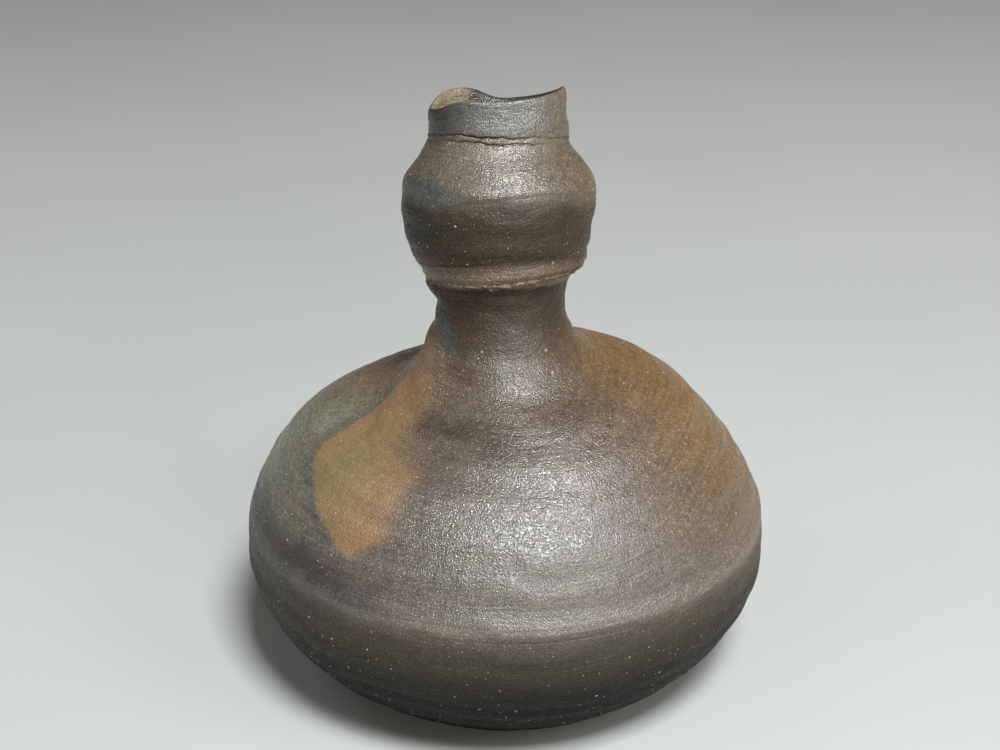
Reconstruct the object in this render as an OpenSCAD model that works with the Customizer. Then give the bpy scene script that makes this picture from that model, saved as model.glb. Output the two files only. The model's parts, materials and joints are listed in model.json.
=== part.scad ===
// Gourd-shaped sake bottle in unglazed, wood-fired stoneware.
// It is built as the potter builds it: a base slab, two thrown belly sections, a neck with
// its flare, a small upper bulb and a mouth collar, luted together with slip and soft coils.
// Units are millimetres, +Z is up, and the origin is the middle of the flat foot.
// The bottle stands upright as far as its waist. Above it the head leans back a little.

/* [Belly] */
// Greatest radius of the belly
belly_r = 56; // [53:0.5:59]
// Height of the widest ring above the table
belly_z = 28; // [26:0.5:30]
// Radius of the flat foot
foot_r = 35; // [32:0.5:37]
// Thickness of the base slab
slab_t = 5; // [4:0.25:6]
// Height of the joint between the two belly sections
belly_joint_z = 35.6; // [34:0.1:38]
// Thickness of the belly wall
belly_wall = 4.3; // [3.5:0.1:5]

/* [Neck] */
// Radius at which the neck is luted on the shoulder
shoulder_r = 25.6; // [24.5:0.1:27]
// Height of the joint between shoulder and neck
shoulder_z = 66; // [64:0.5:67]
// Slope of the shoulder where it meets the neck, in degrees
shoulder_slope = 26; // [24:0.5:28]
// Outer radius of the waist
waist_r = 13.4; // [12.8:0.1:14]
// Height of the narrowest place, where the waist is straight
waist_z = 79.5; // [78.5:0.5:81]
// Thickness of the wall of the neck and the upper bulb
head_wall = 3.8; // [3.4:0.1:4]
// Angle by which the head leans
lean = 10; // [6:0.5:12]
// Direction of the lean, counted from +X towards +Y, in degrees
lean_towards = 97; // [80:1:100]

/* [Upper bulb] */
// Greatest radius of the upper bulb
bulb_r = 19.9; // [19:0.1:21]
// Height of the bulb's widest ring above the bend
bulb_z = 21.7; // [21:0.1:22.5]
// Height of the joint between neck and bulb above the bend
bulb_joint_z = 6.9; // [6.5:0.1:7.3]
// Radius of the bulb's overhanging lower edge
skirt_r = 17.2; // [17:0.1:17.5]

/* [Mouth] */
// Outer radius where the bulb closes in under the collar
bulb_top_r = 14.4; // [14.2:0.1:14.8]
// Height of that place above the bend
bulb_top_z = 34.3; // [33.7:0.1:34.9]
// Height of the coil between bulb and collar
coil_h = 1.6; // [1.4:0.1:1.8]
// Height of the mouth collar, measured to its highest peak
collar_h = 8.7; // [8:0.1:10]
// Outer radius of the lip
lip_r = 13.6; // [13.4:0.1:14]
// Radius of the mouth's bore
mouth_r = 10.8; // [10.4:0.1:11]
// Depth of the two dips in the wavy rim
rim_dip = 1.9; // [1:0.1:2.2]
// Direction of the two dips, counted from +X towards +Y, in degrees
rim_dips_at = 55; // [30:1:80]

/* [Hidden] */
$fn = 128;

CURVE_STEPS = 14;     // straight steps in each round stretch of an outline
foot_chamfer = 0.8;   // worn lower edge of the slab
heel_pull = 7.4;      // how far the foot's flare runs out before it turns up
heel_angle = 24;      // its angle above the table
coil_reach = 3.4;     // how far the base coil covers the slab
coil_climb = 0.4;     // share of the wall's thick foot that it covers
seam_w = 3;           // width of the slip-filled groove round the belly
seam_depth = 1.6;     // its depth
seam_proud = 0.5;     // how far the slip stands out of the belly
slip_drop = 2;        // how far the slip under the bulb runs down the neck
slip_bulge = 1.1;     // how far that slip stands out of the neck
coil_proud = 0.35;    // how far the collar coil stands out
lip_chamfer = 0.7;    // softened edges of the lip
waist_half = 1.7;     // half the length of the straight waist, below and above the bend
bend_z = waist_z + waist_half;
mitre_over = 3;       // how far each half runs past the mitre before it is trimmed
mitre_room = 50;      // size of the block that trims the two halves of the waist
dip_r = lip_r * lip_r / (2 * rim_dip);   // a cylinder of this radius cuts both dips

// The outer outline, as four cubic curves of [radius, height]
belly_low = [[foot_r, 0],
             [foot_r + heel_pull * cos(heel_angle), heel_pull * sin(heel_angle)],
             [belly_r, belly_z - 13],
             [belly_r, belly_z]];
belly_high = [[belly_r, belly_z],
              [belly_r, belly_z + 18.4],
              [shoulder_r + 19 * cos(shoulder_slope), shoulder_z - 19 * sin(shoulder_slope)],
              [shoulder_r, shoulder_z]];
neck_curve = [[shoulder_r, shoulder_z],
              [shoulder_r - 7 * cos(shoulder_slope), shoulder_z + 7 * sin(shoulder_slope)],
              [waist_r, waist_z - 5],
              [waist_r, waist_z]];
// These two are counted from the bend, along the leaning axis
bulb_low = [[waist_r, waist_half], [waist_r, waist_half + 1.2],
            [bulb_r, bulb_z - 9.6], [bulb_r, bulb_z]];
bulb_high = [[bulb_r, bulb_z], [bulb_r, bulb_z + 8.4],
             [bulb_top_r + 1.7, bulb_top_z - 5.2], [bulb_top_r, bulb_top_z]];

// A point on a cubic curve, its direction, and the point one wall thickness inside it
function at(p, t) = pow(1 - t, 3) * p[0] + 3 * pow(1 - t, 2) * t * p[1]
                  + 3 * (1 - t) * t * t * p[2] + pow(t, 3) * p[3];
function slope_at(p, t) = pow(1 - t, 2) * (p[1] - p[0]) + 2 * (1 - t) * t * (p[2] - p[1])
                        + t * t * (p[3] - p[2]);
function inside(p, t, wall) = let (d = slope_at(p, t))
    at(p, t) + wall * [-d[1], d[0]] / norm(d);
// The place t at which a rising curve reaches a height, by halving
function t_at(p, z, lo = 0, hi = 1, n = 30) = n == 0 ? (lo + hi) / 2
    : at(p, (lo + hi) / 2)[1] < z ? t_at(p, z, (lo + hi) / 2, hi, n - 1)
    : t_at(p, z, lo, (lo + hi) / 2, n - 1);
// The place t at which the inner face of such a wall reaches a height
function inner_t_at(p, z, wall, lo = 0, hi = 1, n = 30) = n == 0 ? (lo + hi) / 2
    : inside(p, (lo + hi) / 2, wall)[1] < z ? inner_t_at(p, z, wall, (lo + hi) / 2, hi, n - 1)
    : inner_t_at(p, z, wall, lo, (lo + hi) / 2, n - 1);
function outer_run(p, a, b) = [for (i = [0:CURVE_STEPS]) at(p, a + (b - a) * i / CURVE_STEPS)];
function inner_run(p, a, b, wall) =
    [for (i = [CURVE_STEPS:-1:0]) inside(p, a + (b - a) * i / CURVE_STEPS, wall)];

slab_edge_t = t_at(belly_low, slab_t);
heel_t = t_at(belly_low, slab_t + belly_wall);
groove_low_t = t_at(belly_high, belly_joint_z - seam_w / 2);
groove_high_t = t_at(belly_high, belly_joint_z + seam_w / 2);
joint_t = t_at(belly_high, belly_joint_z);
groove_low = at(belly_high, groove_low_t);
groove_high = at(belly_high, groove_high_t);
groove_floor = inside(belly_high, joint_t, seam_depth);
wall_foot = at(belly_low, slab_edge_t) - [belly_wall * 1.4, 0];
wall_heel = inside(belly_low, heel_t, belly_wall);
coil_top = wall_foot + coil_climb * (wall_heel - wall_foot);
bulb_joint_t = t_at(bulb_low, bulb_joint_z);
bulb_joint_inner_t = inner_t_at(bulb_low, bulb_joint_z, head_wall);
neck_lip = at(bulb_low, bulb_joint_t);
skirt_edge = [skirt_r, bulb_joint_z + 2];
skirt_t = t_at(bulb_low, bulb_joint_z + 5);
coil_low = [at(bulb_high, 1), inside(bulb_high, 1, head_wall)];
coil_high = [[bulb_top_r - 0.2, bulb_top_z + coil_h], [mouth_r, bulb_top_z + coil_h - 0.4]];
rim_z = coil_high[0][1] + collar_h;

// Tips a shape drawn round the upright axis about the bend, by a share of the full lean
module tipped(share = 1) {
    translate([0, 0, bend_z])
        rotate([0, 0, lean_towards])
            rotate([0, lean * share, 0])
                rotate([0, 0, -lean_towards])
                    children();
}

// A block that fills the space above the waist's mitre, or below it
module mitre_block(above) {
    tipped(0.5)
        translate([-mitre_room / 2, -mitre_room / 2, above ? 0 : -mitre_room])
            cube(mitre_room);
}

// Pounded disc that the bottle stands on
module base_slab() {
    color([0.22, 0.17, 0.14])
        rotate_extrude()
            polygon(concat([[0, 0], [foot_r - foot_chamfer, 0], at(belly_low, 0.03)],
                           outer_run(belly_low, 0.06, slab_edge_t),
                           [[0, slab_t]]));
}

// Soft coil pressed into the corner between slab and wall
module base_coil() {
    color([0.27, 0.20, 0.16])
        rotate_extrude()
            polygon([wall_foot,
                     coil_top,
                     (wall_foot + coil_top) / 2 + [-1.5, 0.4],
                     wall_foot - [coil_reach / 2, -0.9],
                     wall_foot - [coil_reach, 0]]);
}

// Lower section of the belly, up to a little above its widest ring
module lower_bowl() {
    color([0.30, 0.23, 0.18])
        rotate_extrude()
            polygon(concat(outer_run(belly_low, slab_edge_t, 1),
                           outer_run(belly_high, 0.02, groove_low_t),
                           [groove_floor],
                           inner_run(belly_high, 0.02, joint_t, belly_wall),
                           inner_run(belly_low, heel_t, 1, belly_wall),
                           [wall_foot]));
}

// Slip pressed into the groove over the belly joint and left standing as a low ridge
module belly_seam() {
    color([0.45, 0.38, 0.31])
        rotate_extrude()
            polygon([groove_floor,
                     groove_low,
                     inside(belly_high, joint_t - 0.02, -seam_proud),
                     inside(belly_high, joint_t + 0.02, -seam_proud),
                     groove_high]);
}

// Upper section of the belly, closed in to the opening that the neck stands on
module shoulder_dome() {
    color([0.37, 0.28, 0.22])
        rotate_extrude()
            polygon(concat([groove_floor],
                           outer_run(belly_high, groove_high_t, 1),
                           inner_run(belly_high, joint_t, 1, belly_wall)));
}

// Neck, drawn in from the shoulder to the waist and trimmed there to half the lean
module neck() {
    color([0.24, 0.18, 0.15])
        difference() {
            rotate_extrude()
                polygon(concat(outer_run(neck_curve, 0, 1),
                               [[waist_r, bend_z + mitre_over],
                                [waist_r - head_wall, bend_z + mitre_over]],
                               inner_run(neck_curve, 0.05, 1, head_wall),
                               [inside(belly_high, 1, belly_wall)]));
            mitre_block(above = true);
        }
}

// Coil thrown on top of the waist, which flares out along the lean to carry the upper bulb
module neck_flare() {
    color([0.22, 0.17, 0.14])
        difference() {
            tipped()
                rotate_extrude()
                    polygon(concat([[waist_r, -mitre_over]],
                                   outer_run(bulb_low, 0, bulb_joint_t),
                                   inner_run(bulb_low, 0, bulb_joint_inner_t, head_wall),
                                   [[waist_r - head_wall, -mitre_over]]));
            mitre_block(above = false);
        }
}

// Lumpy slip in the corner under the bulb's overhanging edge
module neck_seam() {
    color([0.20, 0.15, 0.13])
        tipped()
            rotate_extrude()
                polygon(concat(outer_run(bulb_low, t_at(bulb_low, bulb_joint_z - slip_drop), bulb_joint_t),
                               [skirt_edge - [0.4, 0.5],
                                neck_lip + [slip_bulge, -0.3],
                                neck_lip + [slip_bulge * 0.6, -slip_drop * 0.6]]));
}

// Small bulb, thrown by itself and set on the neck like a cap
module upper_bulb() {
    color([0.36, 0.28, 0.23])
        tipped()
            rotate_extrude()
                polygon(concat([neck_lip, skirt_edge],
                               outer_run(bulb_low, skirt_t, 1),
                               outer_run(bulb_high, 0.05, 1),
                               inner_run(bulb_high, 0.05, 1, head_wall),
                               inner_run(bulb_low, bulb_joint_inner_t, 1, head_wall)));
}

// Soft coil that joins the collar to the bulb
module collar_coil() {
    color([0.48, 0.40, 0.33])
        tipped()
            rotate_extrude()
                polygon([coil_low[0],
                         (coil_low[0] + coil_high[0]) / 2 + [coil_proud, 0],
                         coil_high[0], coil_high[1], coil_low[1]]);
}

// Mouth collar with its true bore and a rim that waves up and down
module mouth_collar() {
    color([0.26, 0.22, 0.20])
        tipped()
            difference() {
                rotate_extrude()
                    polygon([coil_high[0],
                             [bulb_top_r - 0.45, coil_high[0][1] + 2.5],
                             [lip_r, rim_z - lip_chamfer],
                             [lip_r - lip_chamfer, rim_z],
                             [mouth_r, rim_z],
                             coil_high[1]]);
                rotate([0, 0, rim_dips_at])
                    translate([0, 0, rim_z - rim_dip + dip_r])
                        rotate([0, 90, 0])
                            cylinder(r = dip_r, h = 4 * lip_r, center = true, $fn = 256);
            }
}

base_slab();
base_coil();
lower_bowl();
belly_seam();
shoulder_dome();
neck();
neck_flare();
neck_seam();
upper_bulb();
collar_coil();
mouth_collar();
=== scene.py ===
# %% [markdown]
# # A wood-fired gourd bottle, one piece of clay at a time
# The bottle is unglazed stoneware. It was thrown on a wheel in sections, luted together with
# slip and soft coils, and fired with wood, so flame and ash did all of its colouring.
# This first cell loads the packed model. It fixes the frame: metres, +Z up, the middle of the
# foot at the origin, and the front of the bottle towards -Y.

# %% Load the frame
import json
import math
import bpy
import numpy as np
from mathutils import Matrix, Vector

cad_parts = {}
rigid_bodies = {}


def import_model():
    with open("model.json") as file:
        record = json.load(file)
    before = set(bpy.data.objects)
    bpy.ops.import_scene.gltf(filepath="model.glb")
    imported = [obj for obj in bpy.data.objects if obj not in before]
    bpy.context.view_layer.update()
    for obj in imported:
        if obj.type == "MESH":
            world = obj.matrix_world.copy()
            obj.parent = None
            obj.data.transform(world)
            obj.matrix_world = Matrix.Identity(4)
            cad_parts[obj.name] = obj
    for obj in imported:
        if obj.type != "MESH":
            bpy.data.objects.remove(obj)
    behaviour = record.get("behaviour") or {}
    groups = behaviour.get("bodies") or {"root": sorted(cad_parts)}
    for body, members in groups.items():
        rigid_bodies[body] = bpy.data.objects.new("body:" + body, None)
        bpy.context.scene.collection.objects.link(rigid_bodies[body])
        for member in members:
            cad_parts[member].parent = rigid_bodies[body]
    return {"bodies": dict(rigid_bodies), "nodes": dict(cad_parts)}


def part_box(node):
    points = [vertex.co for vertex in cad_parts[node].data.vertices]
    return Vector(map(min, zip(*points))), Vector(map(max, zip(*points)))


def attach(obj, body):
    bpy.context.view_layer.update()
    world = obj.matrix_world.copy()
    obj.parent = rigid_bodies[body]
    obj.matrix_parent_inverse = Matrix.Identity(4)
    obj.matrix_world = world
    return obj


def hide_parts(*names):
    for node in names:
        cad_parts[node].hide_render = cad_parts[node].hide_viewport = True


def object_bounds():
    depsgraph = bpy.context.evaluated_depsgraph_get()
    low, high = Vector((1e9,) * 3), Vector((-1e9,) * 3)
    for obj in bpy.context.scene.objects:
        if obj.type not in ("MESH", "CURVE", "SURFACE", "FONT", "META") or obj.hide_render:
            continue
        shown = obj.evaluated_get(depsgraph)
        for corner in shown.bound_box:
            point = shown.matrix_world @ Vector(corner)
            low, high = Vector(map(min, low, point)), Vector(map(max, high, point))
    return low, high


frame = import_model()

cad_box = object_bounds()
BODY = list(frame["bodies"])[0]
print("body:", BODY, "| nodes:", sorted(frame["nodes"]))
print("box of the packed model:", [tuple(round(c, 4) for c in corner) for corner in cad_box])

# %% [markdown]
# # Sizes
# A potter checks a few sizes with callipers: the widest ring, the joints, the waist and the rim.
# Those that the packed pieces show are read from their boxes, so the visible bottle and the
# packed one can't drift apart. Everything here is in millimetres, and turns into metres
# only when a mesh is made.

# %% Sizes in millimetres
MM = 0.001


def top_of(node):
    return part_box(node)[1].z / MM


def bottom_of(node):
    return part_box(node)[0].z / MM


BELLY_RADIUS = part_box("lower_bowl")[1].x / MM
BELLY_HEIGHT = BELLY_RADIUS / 2
FOOT_RADIUS = 35.0
SLAB_TOP = top_of("base_slab")
BELLY_JOINT = (bottom_of("belly_seam") + top_of("belly_seam")) / 2
SHOULDER_JOINT = top_of("shoulder_dome")
SHOULDER_RADIUS = 25.6
WAIST_RADIUS = 13.4
WAIST_HEIGHT = 79.5
BEND_HEIGHT = 81.2
LEAN = math.radians(10)
LEAN_TOWARDS = math.radians(97)
BULB_JOINT = BEND_HEIGHT + 6.9
BULB_WIDEST = BEND_HEIGHT + 21.7
BULB_RADIUS = 19.9
BULB_TOP = BEND_HEIGHT + 34.3
BULB_TOP_RADIUS = 14.4
COIL_TOP = BULB_TOP + 1.6
RIM = COIL_TOP + 6.6
LIP_RADIUS = 13.9
MOUTH_RADIUS = LIP_RADIUS - 2.0
BELLY_WALL = 4.3
HEAD_WALL = 3.8
print(f"belly {2 * BELLY_RADIUS:.1f} wide, its joint at {BELLY_JOINT:.1f}")
print(f"shoulder joint at {SHOULDER_JOINT:.1f}")

# %% [markdown]
# # The outline
# Anything thrown on a wheel is an outline turned round an axis. Points drawn by hand would leave
# flats in it, so each stretch is one cubic curve, pulled by two handles, just as the wall was
# pulled up between two hands. Each point is [radius, distance up the axis].

# %% Outline of the outside
def cubic(start, pull_out, pull_in, end, steps=80):
    t = np.linspace(0, 1, steps + 1)[:, None]
    a, b, c, d = (np.array(p, float) for p in (start, pull_out, pull_in, end))
    return (1 - t) ** 3 * a + 3 * (1 - t) ** 2 * t * b + 3 * (1 - t) * t * t * c + t ** 3 * d


def sloped(point, length, degrees):
    """A handle: the point moved by a length, outwards and down at an angle."""
    angle = math.radians(degrees)
    return [point[0] + length * math.cos(angle), point[1] - length * math.sin(angle)]


foot = [FOOT_RADIUS, 0]
equator = [BELLY_RADIUS, BELLY_HEIGHT]
shoulder = [SHOULDER_RADIUS, SHOULDER_JOINT]
waist = [WAIST_RADIUS, WAIST_HEIGHT]
bulb_widest = [BULB_RADIUS, BULB_WIDEST]
bulb_top = [BULB_TOP_RADIUS, BULB_TOP]
flare_start = [WAIST_RADIUS, BEND_HEIGHT + 1.7]

# Each curve has its start, its two handles and its end
outside = np.vstack([
    cubic(foot, sloped(foot, 7.4, -24), [BELLY_RADIUS, BELLY_HEIGHT - 13], equator),
    cubic(equator, [BELLY_RADIUS, BELLY_HEIGHT + 18.4], sloped(shoulder, 19, 26), shoulder)[1:],
    cubic(shoulder, sloped(shoulder, -7, 26), [WAIST_RADIUS, WAIST_HEIGHT - 5], waist)[1:],
    cubic(flare_start, [WAIST_RADIUS, BEND_HEIGHT + 2.9], [BULB_RADIUS, BULB_WIDEST - 9.6],
          bulb_widest),
    cubic(bulb_widest, [BULB_RADIUS, BULB_WIDEST + 8.4], [BULB_TOP_RADIUS + 1.7, BULB_TOP - 5.2],
          bulb_top)[1:],
    [[BULB_TOP_RADIUS - 0.35, COIL_TOP + 0.8], [BULB_TOP_RADIUS - 0.5, COIL_TOP + 2.5],
     [LIP_RADIUS, RIM]],
])


def radius_at(height):
    return np.interp(height, outside[:, 1], outside[:, 0])


def evenly(points, spacing):
    """The same line with its points a fixed distance apart."""
    points = np.array(points, float)
    run = np.concatenate([[0], np.cumsum(np.linalg.norm(np.diff(points, axis=0), axis=1))])
    count = max(2, int(round(run[-1] / spacing)) + 1)
    where = np.linspace(0, run[-1], count)
    return np.column_stack([np.interp(where, run, points[:, k]) for k in (0, 1)])


def stretch(low, high, spacing=0.5):
    """The outside between two heights."""
    between = outside[(outside[:, 1] > low) & (outside[:, 1] < high)]
    ends = [[radius_at(low), low]], [[radius_at(high), high]]
    return evenly(np.vstack([ends[0], between, ends[1]]), spacing)


def moved_in(line, wall):
    """A line shifted square to itself, towards the hollow."""
    along = np.gradient(line, axis=0)
    along /= np.linalg.norm(along, axis=1)[:, None]
    return line + wall * np.column_stack([-along[:, 1], along[:, 0]])


print("outline runs from", outside[0].round(1), "to", outside[-1].round(1))

# %% [markdown]
# # From outline to real clay
# A hand-thrown bottle is never truly round. Here the shoulder is higher on its right, the seams of
# the upper bulb climb to the right, the neck stands a little left of the middle, the head leans
# back, and the rim waves. One function places every point of every piece, so neighbouring pieces
# always meet, whatever is done to the shape.

# %% Sizes of the unevenness
BEND_START = BEND_HEIGHT - 4.2
BEND_END = BEND_HEIGHT + 4.2
BEND_RADIUS = (BEND_END - BEND_START) / LEAN
LEFT_SUNK = 5.7
LEFT_SUNK_HEIGHT = 65
RIGHT_RAISED = 3.4
RIGHT_RAISED_HEIGHT = 60.5
HEAD_TILT = 1.3
NECK_SHIFT = -0.9
SEAM_WAVER = 0.3
COLLAR_SEAM = COIL_TOP - 0.8
BELLY_RIDGE = 0.42
ROOT_SWELL = 0.7
ROOT_HEIGHT = 75.5
LEDGE_TOP = 106.6
LEDGE_FALL = 6.0
LEDGE_DEPTH = 0.35
CREVICE = 0.5
CREASE_HEIGHT = 93.2
# A point past these radii lies on the outside of the head, the collar or the belly
HEAD_SKIN = MOUTH_RADIUS + 1.5
COLLAR_SKIN = 13.2
BELLY_SKIN = 50
# How far the rim stands above its mean, by the angle from the right side round past the back
RIM_WAVES = [(0, 2.1), (30, 0.6), (50, -0.5), (70, -1.2), (90, -1.5), (97, -0.8), (104, 0.1),
             (113, 1.0), (125, 1.3), (142, 0.9), (160, -0.4), (177, -1.9), (210, -1.4), (232, 0.1),
             (248, 0.7), (270, 0.25), (300, 0.8), (320, 1.3), (342, 2.0), (360, 2.1)]
CORNER_ROUNDING = (-8, -4, 0, 4, 8)
print(f"the neck bends from {BEND_START:.1f} to {BEND_END:.1f}, with a radius of {BEND_RADIUS:.1f}")


# %% Smooth steps and bumps
def ease(x, low, high):
    """0 below low, 1 above high, and a smooth rise between them."""
    t = np.clip((x - low) / (high - low), 0, 1)
    return t * t * (3 - 2 * t)


def hump(x, middle, half_width):
    """A smooth bump: 1 in the middle, and about a third at half its width."""
    return np.exp(-((x - middle) / half_width) ** 2)


print(f"a quarter of the way up a step: {ease(0.25, 0, 1):.2f}")
print(f"half the width from a bump's middle: {hump(1, 0, 1):.2f}")


# %% The wavy rim and the open lines over the joints
def rim_wave(angle):
    """Height of the rim above its mean, round the mouth, with its corners rounded off."""
    stops = np.array(RIM_WAVES, float)
    degrees = np.degrees(angle)
    near = [np.interp(np.mod(degrees + d, 360), stops[:, 0], stops[:, 1]) for d in CORNER_ROUNDING]
    return np.mean(near, axis=0)


def seam_waver(angle):
    return SEAM_WAVER * (np.sin(2 * angle + 0.8) + 0.6 * np.sin(5 * angle))


def crevice(height, angle):
    """How deep a point lies in one of the open lines over a joint, from 0 to 1."""
    ragged = 0.12 * np.sin(11 * angle) + 0.08 * np.sin(29 * angle + 1)
    deep = 0.75 + 0.25 * np.sin(3 * angle + 0.5)
    above = hump(height, COIL_TOP + ragged, 0.22)
    below = hump(height, BULB_TOP + 0.4 - ragged, 0.2)
    under = 0.5 * hump(height, CREASE_HEIGHT + 0.6 * np.sin(angle), 0.3)
    under = under * ease(np.cos(angle + 2.5), 0.55, 0.95)
    return deep * (above + 0.8 * below) + under


waves = rim_wave(np.linspace(0, math.tau, 361))
print(f"the rim waves from {waves.min():.1f} to {waves.max():.1f} about its mean")


# %% Up and down
def lifted(height, angle):
    """How far a point stands above its place on the true outline."""
    right = np.cos(angle)
    side = ease(right, -0.5, 0.5)
    half_width = np.where(height > LEFT_SUNK_HEIGHT, 9.0, 7.2)
    sunk = LEFT_SUNK * hump(height, LEFT_SUNK_HEIGHT, half_width)
    raised = RIGHT_RAISED * hump(height, RIGHT_RAISED_HEIGHT, 6)
    rise = right * (sunk * (1 - side) + raised * side)
    rise = rise + right * HEAD_TILT * ease(height, 82, 88) * (1 - ease(height, 98, 108))
    rise = rise + seam_waver(angle) * hump(height, COLLAR_SEAM, 2.5)
    collar_dip = 0.36 - 0.5 * right - 1.1 * right ** 2
    rise = rise + collar_dip * hump(height, COLLAR_SEAM, 3.5)
    return rise + rim_wave(angle) * ease(height, COIL_TOP + 1, RIM)


lift_left, lift_right = lifted(RIGHT_RAISED_HEIGHT, np.array([math.pi, 0]))
print(f"the shoulder is moved by {lift_left:.1f} on the left and {lift_right:.1f} on the right")


# %% In and out
def folded(radius, height, right):
    """The skin beside the seams of the head: in on the left, out on the right."""
    head = radius > HEAD_SKIN
    to_right = ease(right, 0, 1)
    fold = np.where(right > 0, 0.7, 1.0) * right * hump(height, BULB_JOINT + 2, 1.9) * head
    fold = fold + 0.5 * to_right * hump(height, BULB_JOINT + 4.6, 1.6) * head
    fold = fold + 0.4 * to_right * hump(height, COIL_TOP, 3) * (radius > COLLAR_SKIN)
    # On the left the slip doesn't stand out, so it is pared back to one smooth slope
    smooth_slope = np.interp(height - BULB_JOINT, [-1.6, 0.4, 1.6], [15.0, 15.9, 17.0])
    proud = np.maximum(radius - smooth_slope, 0) * (np.abs(height - BULB_JOINT) < 1.6)
    return fold - proud * ease(-right, 0.2, 0.8)


def ledge(radius, height, angle):
    """A shallow step on the front of the bulb, highest near the middle and lower to both sides."""
    bearing = np.mod(angle + math.pi * 1.5, math.tau) - math.pi
    step_height = LEDGE_TOP - LEDGE_FALL * ((bearing - 0.35) / 1.6) ** 2
    front = ease(np.cos(bearing - 0.2), -0.1, 0.5)
    step = LEDGE_DEPTH * front * ease(height, step_height - 0.5, step_height + 0.1)
    fade = 1 - ease(height, step_height + 0.3, step_height + 5)
    return step * fade * (radius > HEAD_SKIN)


def settle(radius, height, angle):
    """The hand-made unevenness: a new radius and height for each point."""
    right = np.cos(angle)
    ridge = BELLY_RIDGE * hump(height, BELLY_JOINT + 0.8, 2.5)
    cut = CREVICE * crevice(height, angle) * (radius > MOUTH_RADIUS + 0.6)
    root = (ROOT_SWELL - 0.3 * right) * hump(height, ROOT_HEIGHT, 3.5)
    root = root - 0.45 * hump(height, 85, 3) * ease(right, -1, -0.3)
    out = radius + folded(radius, height, right) + root + ledge(radius, height, angle)
    out = out + ridge * (radius > BELLY_SKIN) - cut
    return out, height + lifted(height, angle)


ridge_radius, _ = settle(BELLY_RADIUS, BELLY_JOINT, math.pi / 2)
print(f"with its ridge, the belly joint has a radius of {ridge_radius:.1f} at the back")


# %% The place of a point
def place(radius, height, angle):
    """Points in metres, with the directions out of the axis and along it."""
    radius, height = settle(radius, height, angle)
    tilt = LEAN * np.clip((height - BEND_START) / (BEND_END - BEND_START), 0, 1)
    past = np.maximum(height - BEND_END, 0)
    over = BEND_RADIUS * (1 - np.cos(tilt)) + past * math.sin(LEAN)
    up = np.minimum(height, BEND_START) + BEND_RADIUS * np.sin(tilt) + past * math.cos(LEAN)
    lean_way = np.array([math.cos(LEAN_TOWARDS), math.sin(LEAN_TOWARDS), 0])
    side_way = np.array([-lean_way[1], lean_way[0], 0])
    vertical = np.array([0, 0, 1.0])
    c, s = np.cos(tilt)[..., None], np.sin(tilt)[..., None]
    axis = c * vertical + s * lean_way
    forward = np.cos(angle - LEAN_TOWARDS)[..., None] * (c * lean_way - s * vertical)
    out = forward + np.sin(angle - LEAN_TOWARDS)[..., None] * side_way
    middle = over[..., None] * lean_way + up[..., None] * vertical
    middle = middle + (NECK_SHIFT * ease(height, 45, 74))[..., None] * np.array([1.0, 0, 0])
    return (middle + radius[..., None] * out) * MM, out, axis


middle_of_rim = place(np.zeros(1), np.full(1, RIM), np.zeros(1))[0][0]
print("the middle of the rim lies at", middle_of_rim.round(4))

# %% [markdown]
# # Turning a piece
# Each piece of clay is a closed ring: up the outside, over the joint, down the inside. The mesh is
# written straight from arrays, because half a million points typed through an editing tool would be
# slow. Every piece has the same number of steps round it, so two pieces share their edge exactly.
# Four things are stored on each point for later: which way is out, whether it is skin that shows,
# where it lies on the wheel (cosine, sine and height), and how deep in a crevice it is and whether
# it lies in the mouth, for the painted shade and light there.

# %% Runs of points along a piece's section
AROUND = 720
FINE = 0.45
FINER = 0.2
COARSE = 2.5
slope = np.gradient(outside, axis=0)
slope /= np.linalg.norm(slope, axis=1)[:, None]


def outward_at(height):
    """The direction out of the clay, as [along the radius, along the axis]."""
    flat = np.interp(height, outside[:, 1], slope[:, 1])
    rise = np.interp(height, outside[:, 1], -slope[:, 0])
    return np.column_stack([flat, rise])


def run(points, skin=0.0, outward=None, bore=0.0):
    """Rows of radius, height, skin, outward direction and bore, for one stretch of a section."""
    points = np.array(points, float).reshape(-1, 2)
    way = outward_at(points[:, 1]) if outward is None else np.tile(outward, (len(points), 1))
    ones = np.ones(len(points))
    return np.column_stack([points, skin * ones, way, bore * ones])


def shown(low, high, spacing=FINE):
    return run(stretch(low, high, spacing), skin=1.0)


def hidden_wall(low, high, wall):
    """The inner face, from its top down."""
    return run(moved_in(stretch(low, high, COARSE), wall)[::-1])


print(f"{AROUND} steps round the wheel, and rings {FINE} mm apart up the skin")


# %% Turn a section into a mesh
def ring_faces(rows, closed):
    """Quads between neighbouring rings. A closed section joins its last ring to its first."""
    grid = np.arange(rows * AROUND).reshape(rows, AROUND)
    lower = grid if closed else grid[:-1]
    upper = np.roll(grid, -1, axis=0) if closed else grid[1:]
    corners = [lower, np.roll(lower, -1, 1), np.roll(upper, -1, 1), upper]
    return np.stack(corners, -1).reshape(-1, 4)


def add_points_attribute(mesh, label, values):
    kind, field = ("FLOAT_VECTOR", "vector") if values.ndim == 2 else ("FLOAT", "value")
    layer = mesh.attributes.new(label, kind, "POINT")
    layer.data.foreach_set(field, np.ascontiguousarray(values, dtype=np.float32).ravel())


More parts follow.
